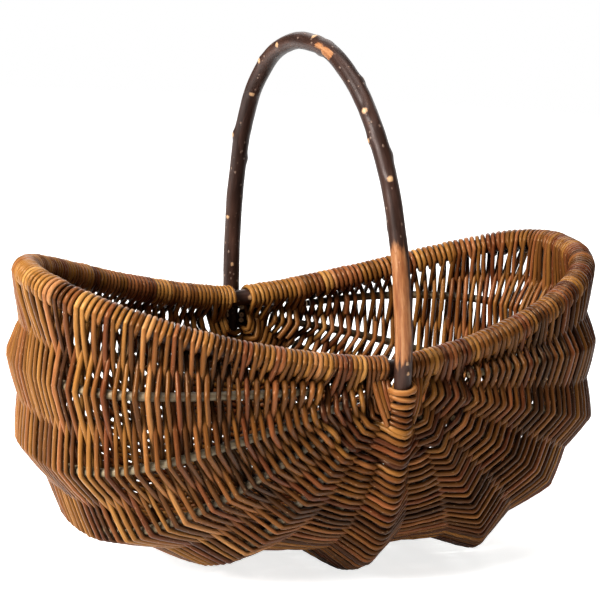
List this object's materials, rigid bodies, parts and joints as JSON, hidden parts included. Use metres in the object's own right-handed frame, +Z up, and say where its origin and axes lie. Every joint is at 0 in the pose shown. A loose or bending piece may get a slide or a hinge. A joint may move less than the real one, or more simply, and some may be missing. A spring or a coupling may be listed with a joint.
{
  "type": "egg collection basket",
  "caption": "Oval frame basket of woven willow on bent rod hoops and ribs, with a fixed arched handle, for gathering and carrying eggs.",
  "frame": {"origin": "on the ground under the middle of the basket", "axes": "+X along the basket's length, +Y from the front ear to the rear ear across the width, +Z up"},
  "size_m": [0.5263, 0.322, 0.4317],
  "materials": {
    "hoop_bark": "dark hazel bark, satin, rubbed to orange wood in places",
    "peeled_rib": "peeled willow, matt, cream with a green tinge",
    "willow_weaver": "willow with its bark on, satin, golden ochre to dark red brown"
  },
  "bodies": {
    "root": {"handle_hoop": "hoop_bark", "rim_hoop": "hoop_bark", "rib_left_1": "peeled_rib", "rib_left_2": "peeled_rib", "rib_left_3": "peeled_rib", "rib_left_4": "peeled_rib", "rib_left_5": "peeled_rib", "rib_right_1": "peeled_rib", "rib_right_2": "peeled_rib", "rib_right_3": "peeled_rib", "rib_right_4": "peeled_rib", "rib_right_5": "peeled_rib", "front_rim_wrap_left": "willow_weaver", "front_rim_wrap_right": "willow_weaver", "rear_rim_wrap_left": "willow_weaver", "rear_rim_wrap_right": "willow_weaver", "front_ear_band": "willow_weaver", "rear_ear_band": "willow_weaver", "front_weave_fan": "willow_weaver", "front_weave_shoulder": "willow_weaver", "front_weave_side": "willow_weaver", "rear_weave_fan": "willow_weaver", "rear_weave_shoulder": "willow_weaver", "rear_weave_side": "willow_weaver"}
  },
  "joints": []
}
